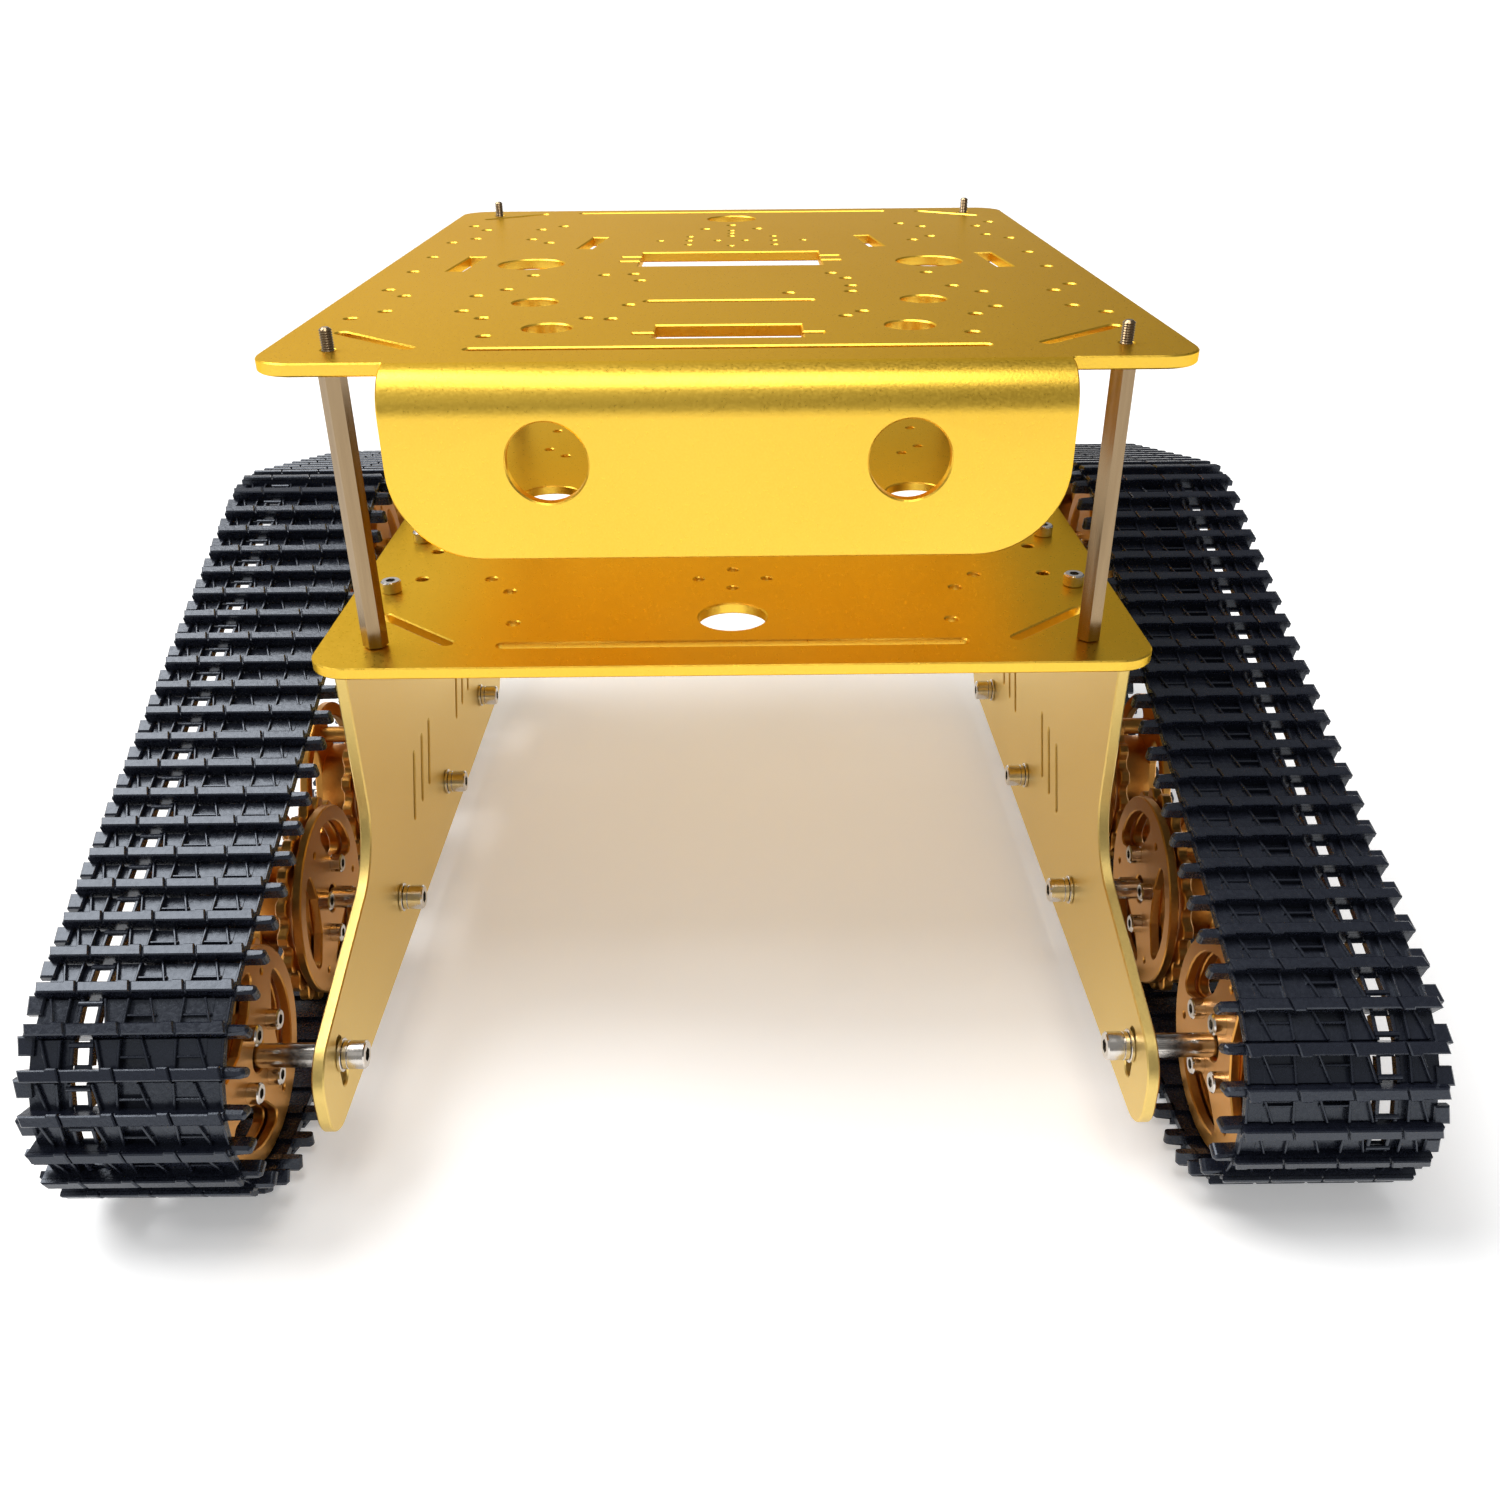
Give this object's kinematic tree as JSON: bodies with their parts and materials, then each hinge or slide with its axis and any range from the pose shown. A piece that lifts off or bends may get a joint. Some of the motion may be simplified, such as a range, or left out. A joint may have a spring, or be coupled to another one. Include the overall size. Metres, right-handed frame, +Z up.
{
  "type": "tracked tank chassis",
  "caption": "Tracked tank chassis with two stacked perforated decks, a bent front sensor bumper and two tracks on toothed wheels",
  "frame": {"origin": "bottom centre of the bounding box, on the ground under the tracks", "axes": "+X to the vehicle's side across the symmetry plane, -Y is the front (bumper and tensioned idler), +Z up"},
  "size_m": [0.32, 0.345, 0.1945],
  "materials": {
    "deck_gold": "satin gold anodised sheet",
    "plate_gold": "satin gold anodised sheet",
    "wheel_bronze": "satin bronze-gold anodised plate",
    "standoff_nickel": "nickel plated brass",
    "steel": "turned steel",
    "motor_can": "drawn steel can",
    "track_black": "moulded black plastic"
  },
  "bodies": {
    "chassis": {"top_deck": "deck_gold", "mid_deck": "deck_gold", "left_front_standoff": "standoff_nickel", "left_rear_standoff": "standoff_nickel", "left_deck_screw_1": "steel", "left_deck_screw_2": "steel", "left_deck_screw_3": "steel", "left_side_plate": "plate_gold", "left_track": "track_black", "left_gearbox": "steel", "left_motor": "motor_can", "left_front_idler_axle": "steel", "left_road_wheel_1_axle": "steel", "left_road_wheel_2_axle": "steel", "left_road_wheel_3_axle": "steel", "left_rear_idler_axle": "steel", "right_front_standoff": "standoff_nickel", "right_rear_standoff": "standoff_nickel", "right_deck_screw_1": "steel", "right_deck_screw_2": "steel", "right_deck_screw_3": "steel", "right_side_plate": "plate_gold", "right_track": "track_black", "right_gearbox": "steel", "right_motor": "motor_can", "right_front_idler_axle": "steel", "right_road_wheel_1_axle": "steel", "right_road_wheel_2_axle": "steel", "right_road_wheel_3_axle": "steel", "right_rear_idler_axle": "steel"},
    "left_front_idler": {"left_front_idler_inner_disc": "wheel_bronze", "left_front_idler_toothed_disc": "wheel_bronze"},
    "left_road_wheel_1": {"left_road_wheel_1_inner_disc": "wheel_bronze", "left_road_wheel_1_toothed_disc": "wheel_bronze"},
    "left_road_wheel_2": {"left_road_wheel_2_inner_disc": "wheel_bronze", "left_road_wheel_2_toothed_disc": "wheel_bronze"},
    "left_road_wheel_3": {"left_road_wheel_3_inner_disc": "wheel_bronze", "left_road_wheel_3_toothed_disc": "wheel_bronze"},
    "left_rear_idler": {"left_rear_idler_inner_disc": "wheel_bronze", "left_rear_idler_toothed_disc": "wheel_bronze"},
    "left_drive_wheel": {"left_drive_wheel_inner_disc": "wheel_bronze", "left_drive_wheel_toothed_disc": "wheel_bronze", "left_drive_shaft": "steel"},
    "right_front_idler": {"right_front_idler_inner_disc": "wheel_bronze", "right_front_idler_toothed_disc": "wheel_bronze"},
    "right_road_wheel_1": {"right_road_wheel_1_inner_disc": "wheel_bronze", "right_road_wheel_1_toothed_disc": "wheel_bronze"},
    "right_road_wheel_2": {"right_road_wheel_2_inner_disc": "wheel_bronze", "right_road_wheel_2_toothed_disc": "wheel_bronze"},
    "right_road_wheel_3": {"right_road_wheel_3_inner_disc": "wheel_bronze", "right_road_wheel_3_toothed_disc": "wheel_bronze"},
    "right_rear_idler": {"right_rear_idler_inner_disc": "wheel_bronze", "right_rear_idler_toothed_disc": "wheel_bronze"},
    "right_drive_wheel": {"right_drive_wheel_inner_disc": "wheel_bronze", "right_drive_wheel_toothed_disc": "wheel_bronze", "right_drive_shaft": "steel"}
  },
  "joints": [
    {"name": "left_front_idler_spin", "type": "hinge", "parent": "chassis", "child": "left_front_idler", "pos_m": [-0.122, -0.1395, 0.033], "axis": [1, 0, 0], "continuous": true},
    {"name": "left_road_wheel_1_spin", "type": "hinge", "parent": "chassis", "child": "left_road_wheel_1", "pos_m": [-0.122, -0.0735, 0.033], "axis": [1, 0, 0], "continuous": true},
    {"name": "left_road_wheel_2_spin", "type": "hinge", "parent": "chassis", "child": "left_road_wheel_2", "pos_m": [-0.122, -0.0075, 0.033], "axis": [1, 0, 0], "continuous": true},
    {"name": "left_road_wheel_3_spin", "type": "hinge", "parent": "chassis", "child": "left_road_wheel_3", "pos_m": [-0.122, 0.0565, 0.033], "axis": [1, 0, 0], "continuous": true},
    {"name": "left_rear_idler_spin", "type": "hinge", "parent": "chassis", "child": "left_rear_idler", "pos_m": [-0.122, 0.1211, 0.0745], "axis": [1, 0, 0], "continuous": true},
    {"name": "left_drive_wheel_spin", "type": "hinge", "parent": "chassis", "child": "left_drive_wheel", "pos_m": [-0.122, 0.0275, 0.0945], "axis": [1, 0, 0], "continuous": true},
    {"name": "right_front_idler_spin", "type": "hinge", "parent": "chassis", "child": "right_front_idler", "pos_m": [0.122, -0.1395, 0.033], "axis": [1, 0, 0], "continuous": true},
    {"name": "right_road_wheel_1_spin", "type": "hinge", "parent": "chassis", "child": "right_road_wheel_1", "pos_m": [0.122, -0.0735, 0.033], "axis": [1, 0, 0], "continuous": true},
    {"name": "right_road_wheel_2_spin", "type": "hinge", "parent": "chassis", "child": "right_road_wheel_2", "pos_m": [0.122, -0.0075, 0.033], "axis": [1, 0, 0], "continuous": true},
    {"name": "right_road_wheel_3_spin", "type": "hinge", "parent": "chassis", "child": "right_road_wheel_3", "pos_m": [0.122, 0.0565, 0.033], "axis": [1, 0, 0], "continuous": true},
    {"name": "right_rear_idler_spin", "type": "hinge", "parent": "chassis", "child": "right_rear_idler", "pos_m": [0.122, 0.1211, 0.0745], "axis": [1, 0, 0], "continuous": true},
    {"name": "right_drive_wheel_spin", "type": "hinge", "parent": "chassis", "child": "right_drive_wheel", "pos_m": [0.122, 0.0275, 0.0945], "axis": [1, 0, 0], "continuous": true}
  ],
  "couplings": [
    {"joint": "left_front_idler_spin", "follows": "left_drive_wheel_spin", "ratio": 1},
    {"joint": "left_road_wheel_1_spin", "follows": "left_drive_wheel_spin", "ratio": 1},
    {"joint": "left_road_wheel_2_spin", "follows": "left_drive_wheel_spin", "ratio": 1},
    {"joint": "left_road_wheel_3_spin", "follows": "left_drive_wheel_spin", "ratio": 1},
    {"joint": "left_rear_idler_spin", "follows": "left_drive_wheel_spin", "ratio": 1},
    {"joint": "right_front_idler_spin", "follows": "right_drive_wheel_spin", "ratio": 1},
    {"joint": "right_road_wheel_1_spin", "follows": "right_drive_wheel_spin", "ratio": 1},
    {"joint": "right_road_wheel_2_spin", "follows": "right_drive_wheel_spin", "ratio": 1},
    {"joint": "right_road_wheel_3_spin", "follows": "right_drive_wheel_spin", "ratio": 1},
    {"joint": "right_rear_idler_spin", "follows": "right_drive_wheel_spin", "ratio": 1}
  ]
}
